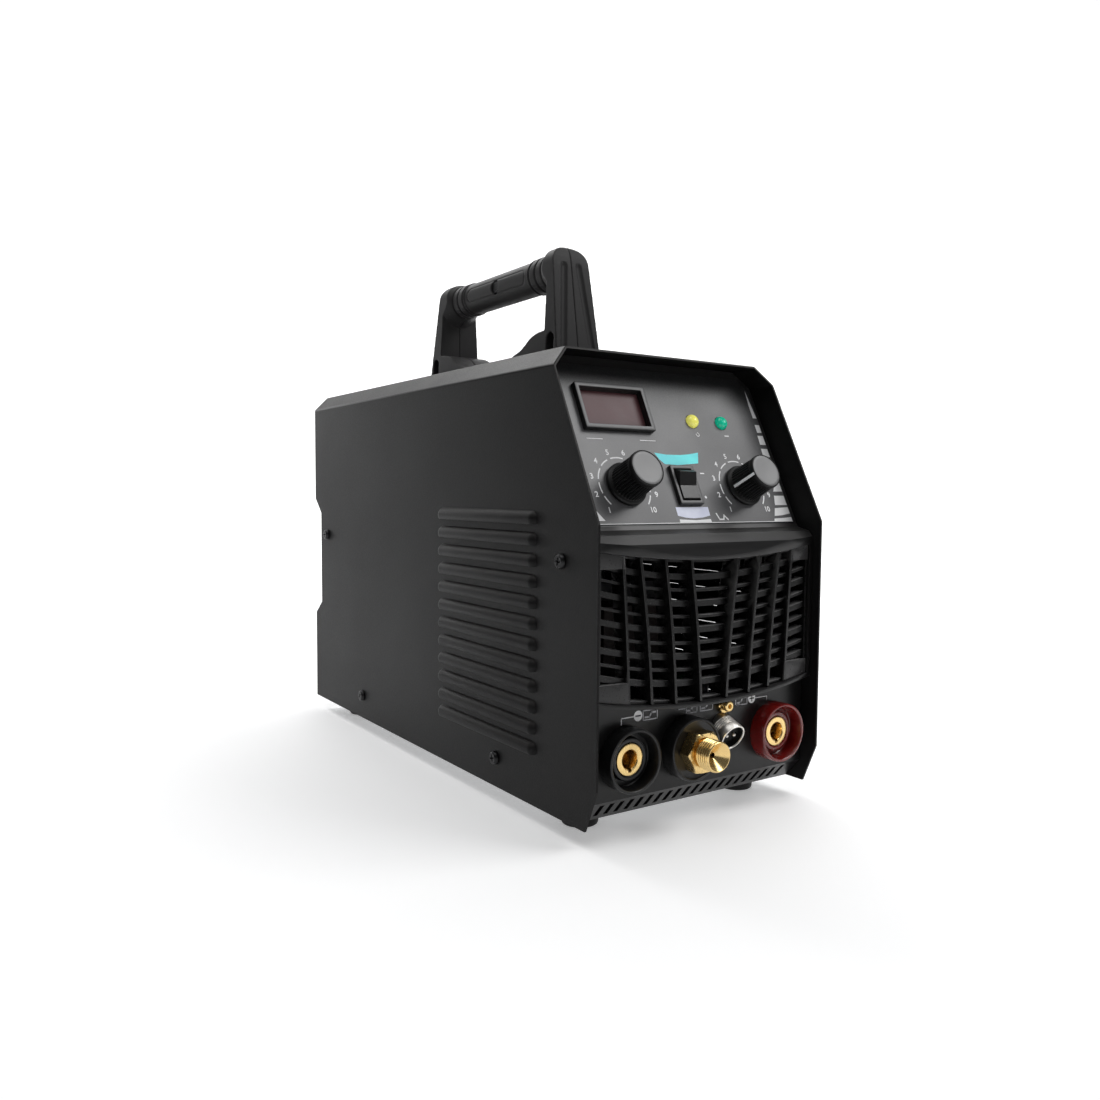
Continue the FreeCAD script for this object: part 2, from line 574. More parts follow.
# ---- sockets and connectors ---------------------------------------------------------------------------
COLLAR_RADIUS = 16.1
COLLAR_DEPTH = 1.5            # rim of the collar behind the front edge of the cover
CONTACT_RADIUS = 8.2
CONTACT_BORE = 4.65
CONTACT_FACE_DEPTH = 6.6
OUT = (0, -1, 0)
IN = (0, 1, 0)


def socket_shell(x):
    """Insulating collar with a deep annular recess, a sleeve round the contact and a clamping nut."""
    rim = front_depth(COLLAR_DEPTH)
    face = front_depth(SOCKET_FACE_DEPTH)
    collar = rod((x, rim, SOCKET_Z), IN, COLLAR_RADIUS, face - rim - 0.05)
    neck = rod((x, face - 1, SOCKET_Z), IN, SOCKET_HOLE - 0.1, 17.0)
    recess = rod((x, rim - 1, SOCKET_Z), IN, COLLAR_RADIUS - 1.9, 9.2)
    sleeve = rod((x, front_depth(CONTACT_FACE_DEPTH + 0.8), SOCKET_Z), IN, 10.8, 8.0)
    bore = rod((x, rim - 1, SOCKET_Z), IN, CONTACT_RADIUS + 0.05, 60)
    nut_start = front_depth(SOCKET_FACE_DEPTH + 2.8)
    nut = hexagon_y(x, SOCKET_Z, 15.0, nut_start, nut_start + 5)
    body = join([collar, neck]).cut(recess)
    body = join([body, sleeve, nut]).cut(bore)
    return body


def hexagon_y(x, z, across_flats_half, y0, y1, vertex_sideways=True):
    """Hexagonal block along Y."""
    radius = across_flats_half / math.cos(math.pi / 6)
    start = 0 if vertex_sideways else math.pi / 6
    corners = []
    for index in range(6):
        angle = start + index * math.pi / 3
        corners.append((x + radius * math.cos(angle), z + radius * math.sin(angle)))
    return prism_y(corners, y0, y1)


def socket_contact(x):
    """Brass contact: bored barrel in front, bolt-on stud behind."""
    face = front_depth(CONTACT_FACE_DEPTH)
    barrel = rod((x, face, SOCKET_Z), IN, CONTACT_RADIUS, 32.0)
    stud = rod((x, face + 32.0, SOCKET_Z), IN, 4.0, 10.0)
    bore = rod((x, face - 1, SOCKET_Z), IN, CONTACT_BORE, 27.0)
    lead_in = cone((x, face - 0.01, SOCKET_Z), IN, CONTACT_BORE + 0.7, CONTACT_BORE, 0.7)
    return cut(join([barrel, stud]), [bore, lead_in])


def torch_boss():
    """Round insulating boss that carries the torch connector."""
    rim = front_depth(COLLAR_DEPTH)
    face = front_depth(SOCKET_FACE_DEPTH)
    disc = rod((TORCH_X, rim, SOCKET_Z), IN, COLLAR_RADIUS + 0.3, face - rim - 0.05)
    recess = rod((TORCH_X, rim - 1, SOCKET_Z), IN, COLLAR_RADIUS - 1.0, 1.8)
    neck = rod((TORCH_X, face - 1, SOCKET_Z), IN, SOCKET_HOLE - 0.1, 15.0)
    nut_start = front_depth(SOCKET_FACE_DEPTH + 2.8)
    nut = hexagon_y(TORCH_X, SOCKET_Z, 15.0, nut_start, nut_start + 4)
    bore = rod((TORCH_X, rim - 1, SOCKET_Z), IN, 8.05, 60)
    return cut(join([disc.cut(recess), neck, nut]), [bore])


THREAD_RADIUS = 7.95
THREAD_LENGTH = 9.5


def torch_fitting():
    """Brass power and gas connector: hexagon, threaded spigot with a conical seat, tail with hose barb."""
    tip = front_depth(-FRONT_REACH)
    shoulder = tip + THREAD_LENGTH
    hexagon = hexagon_y(TORCH_X, SOCKET_Z, 10.0, shoulder, front_depth(COLLAR_DEPTH + 0.75))
    spigot = rod((TORCH_X, tip, SOCKET_Z), IN, THREAD_RADIUS, THREAD_LENGTH + 1)
    spigot = spigot.makeChamfer(0.8, [e for e in spigot.Edges if e.CenterOfMass.y < tip + 0.1
                                      and len(e.Vertexes) == 1])
    tail = rod((TORCH_X, shoulder + 1, SOCKET_Z), IN, 8.0, 36.0)
    barb = rod((TORCH_X, shoulder + 37.0, SOCKET_Z), IN, 3.2, 8.0)
    seat = cone((TORCH_X, tip - 0.01, SOCKET_Z), IN, 6.3, 1.4, 5.0)
    gas_bore = rod((TORCH_X, tip, SOCKET_Z), IN, 1.4, 60)
    return cut(join([hexagon, spigot, tail, barb]), [seat, gas_bore])


def trigger_frame():
    """Placement with +Z along the two-pin socket's axis, from its base on the socket face."""
    base = Vector(TRIGGER_BASE[0], front_depth(TRIGGER_BASE[1]), TRIGGER_BASE[2])
    return Placement(base, Rotation(Vector(1, 0, 0), 90 + math.degrees(TRIGGER_TILT)))


def trigger_shell():
    """Plated shell: threaded neck, smooth mouth with a thin lip."""
    neck = rod((0, 0, -4.5), (0, 0, 1), 7.5, 9.7)
    grooves = [ring((0, 0, 0.6 + 1.2 * i), (0, 0, 1), 7.7, 0.42) for i in range(4)]
    mouth = rod((0, 0, 5.1), (0, 0, 1), 7.75, 4.5)
    bore = rod((0, 0, -9.0), (0, 0, 1), 6.7, 20.0)
    return placed(cut(join([neck, mouth]), [bore] + grooves), trigger_frame())


def trigger_insert():
    insert = rod((0, 0, -5.5), (0, 0, 1), 6.65, 12.0)
    holes = [rod((x, 0, -10), (0, 0, 1), 1.12, 20) for x in (-2.6, 2.6)]
    return placed(cut(insert, holes), trigger_frame())


def trigger_pins():
    pins = [rod((x, 0, -8.0), (0, 0, 1), 1.1, 16.0) for x in (-2.6, 2.6)]
    return Part.makeCompound([placed(pin, trigger_frame()) for pin in pins])


def gas_outlet():
    """Small brass outlet: hexagon against the face and a short nozzle."""
    x, z = OUTLET
    face = front_depth(SOCKET_FACE_DEPTH)
    base = hexagon_y(x, z, 3.9, face - 2.4, face - 0.05)
    nozzle = cone((x, face - 2.4, z), OUT, 3.2, 2.5, 3.4)
    tail = rod((x, face - 0.1, z), IN, 2.5, 14.0)
    bore = rod((x, face - 10, z), IN, 1.1, 40.0)
    return cut(join([base, nozzle, tail]), [bore])


# ---- rear ---------------------------------------------------------------------------------------------
GLAND = (-38.0, 190.0)
GLAND_BORE = 4.5
GAS_INLET = (-46.0, 158.0)
EARTH_STUD = (58.0, 27.0)
BARB_RADIUS = 4.0
FAN_BOLT = 41.25
REAR_DIRECTION = (0, 1, 0)


def rear_panel():
    """Tray-shaped moulding inside the rear of the cover."""
    outline = hood_outline(BEZEL_HALF, BEZEL_TOP, CHAMFER - 0.7, Z_BOTTOM + SHEET + 0.2)
    inner = hood_outline(BEZEL_HALF - WALL, BEZEL_TOP - WALL, CHAMFER - 2.0, 0)
    tray = prism_y(outline, REAR_FACE - 24, REAR_FACE)
    tray = tray.cut(prism_y(inner, REAR_FACE - 30, REAR_FACE - REAR_PANEL_THICK))
    inside = REAR_FACE - 12
    holes = [rod((0, inside, FAN_Z), REAR_DIRECTION, 43.5, 20)]
    holes += [rod((x, inside, FAN_Z + z), REAR_DIRECTION, 2.2, 20)
              for x in (-FAN_BOLT, FAN_BOLT) for z in (-FAN_BOLT, FAN_BOLT)]
    width, height = REAR_SWITCH_SIZE
    switch_half = (width / 2 - 1.4, height / 2 - 1.2)
    centre = REAR_SWITCH.Base
    holes.append(box(centre.x - switch_half[0], centre.x + switch_half[0], inside, REAR_FACE + 5,
                     centre.z - switch_half[1], centre.z + switch_half[1]))
    holes.append(rod((GLAND[0], inside, GLAND[1]), REAR_DIRECTION, 8.1, 20))
    holes.append(rod((GAS_INLET[0], inside, GAS_INLET[1]), REAR_DIRECTION, 5.1, 20))
    holes.append(rod((EARTH_STUD[0], inside, EARTH_STUD[1]), REAR_DIRECTION, 3.1, 20))
    holes.append(rod((-HALF, SIDE_SCREWS[1][0], SIDE_SCREWS[1][1]), (1, 0, 0), SIDE_SCREW_RADIUS, WIDTH))
    return cut(tray, holes)


def fan_frame():
    """Square fan housing with the motor seat carried on four struts."""
    half = FAN_SIZE / 2
    back = REAR_FACE - REAR_PANEL_THICK - 0.05
    front = back - FAN_DEPTH
    body = box(-half, half, front, back, FAN_Z - half, FAN_Z + half)
    bore = rod((0, front - 1, FAN_Z), REAR_DIRECTION, 43.6, FAN_DEPTH + 2)
    seat = rod((0, front, FAN_Z), REAR_DIRECTION, 17.0, 4.0)
    struts = []
    for angle in (45, 135, 225, 315):
        strut = box(0, 45.0, front, front + 3.0, FAN_Z - 2, FAN_Z + 2)
        strut.rotate(Vector(0, front, FAN_Z), Vector(0, 1, 0), angle)
        struts.append(strut)
    bearing = tube((0, front + 3.5, FAN_Z), REAR_DIRECTION, 3.6, 1.56, 10.0)
    bolts = [rod((x, front - 1, FAN_Z + z), REAR_DIRECTION, 2.2, FAN_DEPTH + 2)
             for x in (-FAN_BOLT, FAN_BOLT) for z in (-FAN_BOLT, FAN_BOLT)]
    spindle_room = rod((0, front - 1, FAN_Z), REAR_DIRECTION, 1.56, 8.0)
    return cut(join([body.cut(bore), seat, bearing] + struts), bolts + [spindle_room])


FAN_BLADES = 7
FAN_TIP = 41.5


def fan_rotor():
    """Hub cup with seven twisted blades on a thin spindle."""
    front = REAR_FACE - REAR_PANEL_THICK - 0.05 - FAN_DEPTH
    hub = rod((0, front + 5.0, FAN_Z), REAR_DIRECTION, 18.5, 16.0)
    hollow = rod((0, front + 4.0, FAN_Z), REAR_DIRECTION, 16.5, 14.5)
    spindle = rod((0, front + 1.0, FAN_Z), REAR_DIRECTION, 1.5, 19.0)
    tip_limit = tube((0, front + 4.5, FAN_Z), REAR_DIRECTION, FAN_TIP, 17.6, 18.0)
    blades = []
    for index in range(FAN_BLADES):
        blade = box(15.0, FAN_TIP + 3, front + 5.5, front + 21.5, FAN_Z - 1.0, FAN_Z + 1.0)
        blade.rotate(Vector(0, front + 13.5, FAN_Z), Vector(1, 0, 0), 42)
        blade.rotate(Vector(0, front, FAN_Z), Vector(0, 1, 0), index * 360.0 / FAN_BLADES)
        blades.append(blade.common(tip_limit))
    return join([hub.cut(hollow), spindle] + blades)


def fan_guard():
    """Wire guard: rings on two crossed pairs of wires, with four screw eyes."""
    y = REAR_FACE + 1.3
    rings = []
    for radius in (8.0, 17.5, 27.0, 36.5):
        rings.append(ring((0, y + 1.6, FAN_Z), REAR_DIRECTION, radius, 0.9))
    wires = []
    reach = math.hypot(FAN_BOLT, FAN_BOLT)
    for angle in (45, 135):
        wire = rod((-reach, y, FAN_Z), (1, 0, 0), 0.9, 2 * reach)
        wire.rotate(Vector(0, y, FAN_Z), Vector(0, 1, 0), angle)
        wires.append(wire)
    eyes = [tube((x, REAR_FACE + 0.05, FAN_Z + z), REAR_DIRECTION, 4.4, 2.2, 2.2)
            for x in (-FAN_BOLT, FAN_BOLT) for z in (-FAN_BOLT, FAN_BOLT)]
    holes = [rod((x, REAR_FACE - 5, FAN_Z + z), REAR_DIRECTION, 2.2, 20)
             for x in (-FAN_BOLT, FAN_BOLT) for z in (-FAN_BOLT, FAN_BOLT)]
    return cut(join(rings + wires + eyes), holes)


def fan_screws():
    screws = []
    for x in (-FAN_BOLT, FAN_BOLT):
        for z in (-FAN_BOLT, FAN_BOLT):
            shank = rod((x, REAR_FACE + 2.3, FAN_Z + z), OUT, 2.0, 28.0)
            head = rod((x, REAR_FACE + 2.3, FAN_Z + z), IN, 3.6, 2.2)
            screws.append(join([shank, head]))
    return Part.makeCompound(screws)


def cable_gland():
    """Gland body in the rear panel, without its cable."""
    x, z = GLAND
    flange = hexagon_y(x, z, 11.5, REAR_FACE + 0.05, REAR_FACE + 6.0)
    neck = rod((x, REAR_FACE - 9.0, z), REAR_DIRECTION, 8.0, 10.0)
    thread = rod((x, REAR_FACE + 6.0, z), REAR_DIRECTION, 8.6, 6.0)
    bore = rod((x, REAR_FACE - 20, z), REAR_DIRECTION, GLAND_BORE + 0.4, 60)
    return join([flange, neck, thread]).cut(bore)


def gland_nut():
    """Dome nut of the gland: its mouth is the cable opening."""
    x, z = GLAND
    start = REAR_FACE + 6.1
    end = REAR + REAR_REACH - 6.0
    skirt = hexagon_y(x, z, 11.0, start, start + 7.5)
    dome = cone((x, start + 7.5, z), REAR_DIRECTION, 10.6, 7.2, end - start - 7.5)
    thread_room = rod((x, start - 1, z), REAR_DIRECTION, 8.7, 7.2)
    bore = rod((x, start - 1, z), REAR_DIRECTION, GLAND_BORE, 60)
    return cut(join([skirt, dome]), [thread_room, bore])


def gland_locknut():
    x, z = GLAND
    start = REAR_FACE - REAR_PANEL_THICK - 4.1
    return hexagon_y(x, z, 11.0, start, start + 4.0).cut(rod((x, start - 1, z), REAR_DIRECTION, 8.05, 6))


def gas_inlet():
    """Brass hose spigot with a hexagon, a threaded neck and three barbs."""
    x, z = GAS_INLET
    end = REAR + REAR_REACH
    hexagon = hexagon_y(x, z, 7.0, REAR_FACE + 0.05, REAR_FACE + 5.0)
    neck = rod((x, REAR_FACE - 14.0, z), REAR_DIRECTION, 5.0, 15.0)
    stem = rod((x, REAR_FACE + 5.0, z), REAR_DIRECTION, 3.4, end - REAR_FACE - 5.0)
    barbs = []
    for index in range(3):
        start = end - 5.0 * (index + 1)
        barbs.append(cone((x, start, z), REAR_DIRECTION, BARB_RADIUS, 3.3, 5.0))
    bore = rod((x, REAR_FACE - 20, z), REAR_DIRECTION, 2.0, 80)
    return join([hexagon, neck, stem] + barbs).cut(bore)


def earth_stud():
    """Earth bolt with two nuts, outside and inside the rear panel."""
    x, z = EARTH_STUD
    bolt = rod((x, REAR_FACE - 16.0, z), REAR_DIRECTION, 3.0, 27.0)
    outer = hexagon_y(x, z, 5.0, REAR_FACE + 0.05, REAR_FACE + 5.0)
    inner = hexagon_y(x, z, 5.0, REAR_FACE - REAR_PANEL_THICK - 5.0, REAR_FACE - REAR_PANEL_THICK - 0.05)
    return join([bolt, outer, inner])


# ---- handle -------------------------------------------------------------------------------------------
HANDLE_MID = 22.5
HANDLE_HALF_LENGTH = 86.0
HANDLE_FOOT_HALF = 17.0       # half width where the posts stand on the cover
HANDLE_HEAD_HALF = 13.5
HANDLE_HEIGHT = 78.3
POST_INNER = 17.0             # inner face of a post behind its outer foot
GRIP_Z = Z_TOP + 65.0
GRIP_RADIUS = 10.8
COLLAR_START = 42.0           # ribbed collars of the grip, from the middle of the handle
GRIP_COLLAR_RADIUS = 11.6
GRIP_GROOVES = (43.0, 50.3, 57.5)
HANDLE_SCREW_RADIUS = 2.0
SCREW_POCKET_RADIUS = 4.1
HANDLE_SCREWS = [(x, HANDLE_MID + side * 76.0) for x in (-11.5, 11.5) for side in (-1, 1)]
PANEL_LINE = (38.0, 4.6)      # half length and half height of the outline engraved in the grip
SEAM = 0.04


def line(start, end):
    return Part.LineSegment(Vector(*start), Vector(*end)).toShape()


def arc(start, middle, end):
    return Part.Arc(Vector(*start), Vector(*middle), Vector(*end)).toShape()


def spline(points):
    curve = Part.BSplineCurve()
    curve.interpolate([Vector(*point) for point in points])
    return curve.toShape()


def handle_trim(y0, y1):
    """Front view of the handle: leaning sides under a rounded head, extruded along Y."""
    def at(x, z):
        return (x, y0, Z_TOP + z)
    foot, head = HANDLE_FOOT_HALF, HANDLE_HEAD_HALF
    edges = [line(at(-foot, 0), at(-head, 67.0)),
             arc(at(-head, 67.0), at(-11.6, 73.2), at(-7.0, 76.9)),
             arc(at(-7.0, 76.9), at(0, HANDLE_HEIGHT), at(7.0, 76.9)),
             arc(at(7.0, 76.9), at(11.6, 73.2), at(head, 67.0)),
             line(at(head, 67.0), at(foot, 0)),
             line(at(foot, 0), at(-foot, 0))]
    return Part.Face(Part.Wire(edges)).extrude(Vector(0, y1 - y0, 0))


def handle_post(side):
    """Side view of a post with its long foot: side -1 is the front post."""
    def at(inward, z):
        return (-20, HANDLE_MID + side * (HANDLE_HALF_LENGTH - inward), Z_TOP + z)
    edges = [line(at(0, 0.05), at(2.6, 16.0)),
             line(at(2.6, 16.0), at(10.2, 66.0)),
             spline([at(10.2, 66.0), at(11.4, 71.5), at(13.2, 75.6), at(15.6, 77.9),
                     at(POST_INNER, HANDLE_HEIGHT)]),
             line(at(POST_INNER, HANDLE_HEIGHT), at(POST_INNER, 26.0)),
             spline([at(POST_INNER, 26.0), at(24.0, 25.6), at(30.0, 24.2), at(36.0, 21.5), at(40.5, 18.5),
                     at(45.0, 16.4), at(54.0, 13.8), at(60.0, 9.5), at(64.0, 4.5), at(65.5, 0.05)]),
             line(at(65.5, 0.05), at(0, 0.05))]
    return Part.Face(Part.Wire(edges)).extrude(Vector(40, 0, 0))


def handle_solid():
    trim = handle_trim(HANDLE_MID - HANDLE_HALF_LENGTH - 5, HANDLE_MID + HANDLE_HALF_LENGTH + 5)
    inner = HANDLE_HALF_LENGTH - POST_INNER
    pieces = [rod((0, HANDLE_MID - inner - 2, GRIP_Z), IN, GRIP_RADIUS, 2 * inner + 4)]
    for side in (-1, 1):
        pieces.append(handle_post(side).common(trim))
        start = (0, HANDLE_MID + side * COLLAR_START, GRIP_Z)
        pieces.append(rod(start, (0, side, 0), GRIP_COLLAR_RADIUS, inner + 2 - COLLAR_START))
        flare = cone((0, HANDLE_MID + side * (inner + 1), GRIP_Z), (0, -side, 0),
                     17.0, GRIP_COLLAR_RADIUS, 11.0)
        pieces.append(flare.common(trim))
    return join(pieces)


def post_flutes(side):
    """Two shallow flutes down the outer face of a post, wider apart at its foot."""
    outer = HANDLE_MID + side * HANDLE_HALF_LENGTH
    flutes = []
    for hand in (-1, 1):
        foot = Vector(hand * 11.0, outer - side * (2.0 - 1.8), Z_TOP + 12.0)
        head = Vector(hand * 5.4, outer - side * (10.2 - 1.8), Z_TOP + 66.0)
        run = head - foot
        flutes.append(rod(foot - run * 0.3, run, 3.0, run.Length * 1.3))
        flutes.append(Part.makeSphere(3.0, head))
    return flutes


def grip_outline(side):
    """Engraved long oval on one side of the grip."""
    half_length, half_height = PANEL_LINE
    rings = []
    for margin in (0.5, -0.5):
        reach, radius = half_length - half_height, half_height + margin
        middle = box(0, side * 20, HANDLE_MID - reach, HANDLE_MID + reach, GRIP_Z - radius, GRIP_Z + radius)
        rings.append(join([middle, rod((0, HANDLE_MID - reach, GRIP_Z), (side, 0, 0), radius, 20),
                           rod((0, HANDLE_MID + reach, GRIP_Z), (side, 0, 0), radius, 20)]))
    skin = tube((0, HANDLE_MID - half_length - 5, GRIP_Z), IN, 20, GRIP_RADIUS - 0.5,
                2 * half_length + 10)
    return rings[0].cut(rings[1]).common(skin)


def handle_cuts():
    """Flutes, collar grooves, engraved ovals, screw pockets and the recess of the clamp screw."""
    tools = [grip_outline(-1), grip_outline(1)]
    for side in (-1, 1):
        tools += post_flutes(side)
        for place in GRIP_GROOVES:
            middle = (0, HANDLE_MID + side * place, GRIP_Z)
            tools.append(tube(middle, (0, side, 0), 22, GRIP_COLLAR_RADIUS - 1.1, 2.0))
    for x, y in HANDLE_SCREWS:
        hand = math.copysign(1, x)
        radius = SCREW_POCKET_RADIUS
        tools.append(rod((x, y, Z_TOP + 5.0), (0, 0, 1), radius, 15.0))
        tools.append(rod((x, y, Z_TOP + 20.0), (hand, 0, 0), radius, 12.0))
        tools.append(Part.makeSphere(radius, Vector(x, y, Z_TOP + 20.0)))
        tools.append(box(x, x + hand * 12.0, y - radius, y + radius, Z_TOP + 5.0, Z_TOP + 20.0))
        tools.append(rod((x, y, Z_TOP - 1), (0, 0, 1), HANDLE_SCREW_RADIUS + 0.15, 20))
    tools.append(rod((-20, HANDLE_MID, GRIP_Z), (1, 0, 0), 4.6, 12.5))
    tools.append(rod((-20, HANDLE_MID, GRIP_Z), (1, 0, 0), 1.55, 28.0))
    return tools


def handle_halves():
    solid = cut(handle_solid(), handle_cuts())
    left = solid.common(box(-40, -SEAM, -200, 200, Z_TOP, 400))
    right = solid.common(box(SEAM, 40, -200, 200, Z_TOP, 400))
    return left, right


def handle_screws():
    """Four pan-head screws through the cover, each with a nut underneath."""
    screws = []
    for x, y in HANDLE_SCREWS:
        head = rod((x, y, Z_TOP + 5.05), (0, 0, 1), 3.8, 2.6)
        shank = rod((x, y, Z_TOP - 8.0), (0, 0, 1), HANDLE_SCREW_RADIUS, 13.1)
        nut = rod((x, y, Z_TOP - SHEET - 3.3), (0, 0, 1), 3.6, 3.2)
        screws.append(join([head, shank, nut]))
    return Part.makeCompound(screws)


def handle_clamp_screw():
    head = rod((-7.55, HANDLE_MID, GRIP_Z), (-1, 0, 0), 3.8, 2.2)
    shank = rod((-7.6, HANDLE_MID, GRIP_Z), (1, 0, 0), 1.5, 14.0)
    return join([head, shank])


# ---- fasteners and feet -------------------------------------------------------------------------------
def cover_screws():
    """Cross-head screws through both sides of the cover."""
    screws = []
    for side in (-1, 1):
        for y, z in SIDE_SCREWS:
            shank = rod((side * (HALF + 0.05), y, z), (-side, 0, 0), SIDE_SCREW_RADIUS - 0.05, 7.0)
            head = rod((side * (HALF + 0.05), y, z), (side, 0, 0), 3.9, 1.6)
            head = join([head, cone((side * (HALF + 1.65), y, z), (side, 0, 0), 3.9, 2.6, 0.7)])
            slot = box(-0.5, 0.5, y - 2.2, y + 2.2, z - 0.4, z + 0.4)
            cross = box(-0.5, 0.5, y - 0.4, y + 0.4, z - 2.2, z + 2.2)
            for tool in (slot, cross):
                tool.translate(Vector(side * (HALF + 2.1), 0, 0))
            screws.append(cut(join([shank, head]), [slot, cross]))
    return Part.makeCompound(screws)


def rubber_feet():
    feet = []
    for x in (-FOOT_X, FOOT_X):
        for y in FOOT_Y:
            body = cone((x, y, 0), (0, 0, 1), FOOT_RADIUS - 0.8, FOOT_RADIUS, FOOT_HEIGHT - 0.05)
            body = body.makeFillet(1.2, [e for e in body.Edges if e.CenterOfMass.z < 0.1 and e.Closed])
            recess = rod((x, y, -1), (0, 0, 1), 4.2, 5.0)
            hole = rod((x, y, -1), (0, 0, 1), 2.05, 20)
            feet.append(cut(body, [recess, hole]))
    return Part.makeCompound(feet)


def foot_screws():
    screws = []
    for x in (-FOOT_X, FOOT_X):
        for y in FOOT_Y:
            head = rod((x, y, 1.6), (0, 0, 1), 3.6, 2.35)
            shank = rod((x, y, 3.9), (0, 0, 1), 2.0, 12.0)
            nut = rod((x, y, Z_BOTTOM + SHEET + 0.05), (0, 0, 1), 3.6, 3.0)
            screws.append(join([head, shank, nut]))
    return Part.makeCompound(screws)


# ---- inside -------------------------------------------------------------------------------------------
BOARD_Z = 62.0
BOARD = (-66.0, 66.0, -118.0, 132.0)
STANDOFFS = [(x, y) for x in (-61.0, 61.0) for y in (-112.0, -30.0, 50.0, 126.0)]


def board_standoffs():
    """Hexagonal pillars under the main board, screwed from both ends."""
    pillars = []
    for x, y in STANDOFFS:
        body = rod((x, y, Z_BOTTOM + SHEET + 0.05), (0, 0, 1), 3.2, BOARD_Z - Z_BOTTOM - SHEET - 0.1)
        foot = rod((x, y, Z_BOTTOM - 1.0), (0, 0, 1), 1.5, 3.0)
        pin = rod((x, y, BOARD_Z - 1), (0, 0, 1), 1.5, 3.5)
        pillars.append(join([body, foot, pin]))
    return Part.makeCompound(pillars)


def main_board():
    x0, x1, y0, y1 = BOARD
    holes = [rod((x, y, BOARD_Z - 5), (0, 0, 1), 1.6, 10) for x, y in STANDOFFS]
    return cut(box(x0, x1, y0, y1, BOARD_Z, BOARD_Z + 1.6), holes)


def heat_sink(side):
    """Extruded heat sink along the air path, with fins towards the cover."""
    base_in = side * 24.0
    outline_box = sorted((base_in, base_in + side * 5.0))
    low, high = BOARD_Z + 4.0, BOARD_Z + 62.0
    pieces = [box(outline_box[0], outline_box[1], -52.0, 84.0, low, high)]
    for index in range(8):
        z = low + index * (high - low - 2.0) / 7
        fin = sorted((base_in, base_in + side * 36.0))
        pieces.append(box(fin[0], fin[1], -52.0, 84.0, z, z + 2.0))
    return join(pieces)


def power_transistors():
    """Four transistors on the inner face of each heat sink."""
    bodies = []
    for side in (-1, 1):
        for index in range(4):
            x0, x1 = sorted((side * 23.9, side * 18.9))
            y = -40.0 + index * 34.0
            case = box(x0, x1, y - 8, y + 8, BOARD_Z + 16, BOARD_Z + 37)
            legs = [box(side * 21.4 - 0.4, side * 21.4 + 0.4, y + dy - 0.6, y + dy + 0.6,
                        BOARD_Z + 1.65, BOARD_Z + 16.1) for dy in (-5.4, 0, 5.4)]
            bodies.append(join([case] + legs))
    return Part.makeCompound(bodies)


def bus_capacitors():
    cans = []
    for x in (-45.0, -15.0, 15.0, 45.0):
        can = rod((x, 104.0, BOARD_Z + 1.65), (0, 0, 1), 12.5, 42.0)
        top_edge = [e for e in can.Edges if e.CenterOfMass.z > BOARD_Z + 40 and e.Closed]
        cans.append(can.makeFillet(1.5, top_edge))
    return Part.makeCompound(cans)


def transformer_core():
    """Ferrite core: rectangular ring with a centre leg."""
    outer = box(-34, 34, -106, -76, BOARD_Z + 2, BOARD_Z + 58)
    windows = [box(x, x + 16, -110, -70, BOARD_Z + 12, BOARD_Z + 48) for x in (-25, 9)]
    return cut(outer, windows)


def transformer_winding():
    outer = box(-22, 22, -119, -63, BOARD_Z + 14, BOARD_Z + 46)
    inner = box(-9.3, 9.3, -106.3, -75.7, BOARD_Z, BOARD_Z + 60)
    core_room = [box(-23, -9.2, -106.3, -75.7, BOARD_Z + 47, BOARD_Z + 60)]
    return cut(outer, [inner] + core_room)


CHOKE_X = 40.0
CHOKE_Y = -78.0
CHOKE_Z = 38.0
CHOKE_RADIUS = 17.0


def output_choke():
    """Toroid with a wound body, lying flat under the sloping panel."""
    body = ring((CHOKE_X, CHOKE_Y, CHOKE_Z), (0, 0, 1), CHOKE_RADIUS, 7.6)
    turns = []
    for index in range(18):
        angle = math.radians(index * 20)
        outward = Vector(math.cos(angle), math.sin(angle), 0)
        along = Vector(-math.sin(angle), math.cos(angle), 0)
        centre = Vector(CHOKE_X, CHOKE_Y, CHOKE_Z) + outward * CHOKE_RADIUS
        turns.append(Part.makeTorus(8.4, 1.1, centre, along))
    return join([body] + turns)


def start_coil():
    """Arc-starting coil under the main board, on the lead to the torch connector."""
    core = rod((-12.0, -106.0, 36.0), (0, 1, 0), 8.0, 44.0)
    turns = [ring((-12.0, -98.0 + 4.0 * i, 36.0), (0, 1, 0), 9.4, 1.6) for i in range(8)]
    flanges = [rod((-12.0, y, 36.0), (0, 1, 0), 14.0, 2.5) for y in (-106.0, -64.5)]
    return join([core] + turns + flanges)


def busbar(side):
    """Copper strap from a socket's stud to the main board."""
    x = side * SOCKET_X
    stud_y = front_depth(CONTACT_FACE_DEPTH) + 33.0
    tongue = box(x - 7, x + 7, stud_y, stud_y + 2.0, SOCKET_Z - 8, BOARD_Z + 4.0)
    strap = box(x - 7, x + 7, stud_y, BOARD[2] + 12, BOARD_Z + 2.0, BOARD_Z + 4.0)
    hole = rod((x, stud_y - 5, SOCKET_Z), IN, 4.05, 12)
    return join([tongue, strap]).cut(hole)


def control_board():
    """Board behind the control face that carries the display and the dials' leads."""
    sheet = Part.makeBox(124.0, 80.0, 1.6, Vector(-62.0, 6.0, -17.0))
    room = Part.makeBox(SWITCH[2] + 2, SWITCH[3] + 2, 20, Vector(SWITCH[0] - SWITCH[2] / 2 - 1,
                                                               SWITCH[1] - SWITCH[3] / 2 - 1, -25))
    return on_panel(sheet.cut(room))


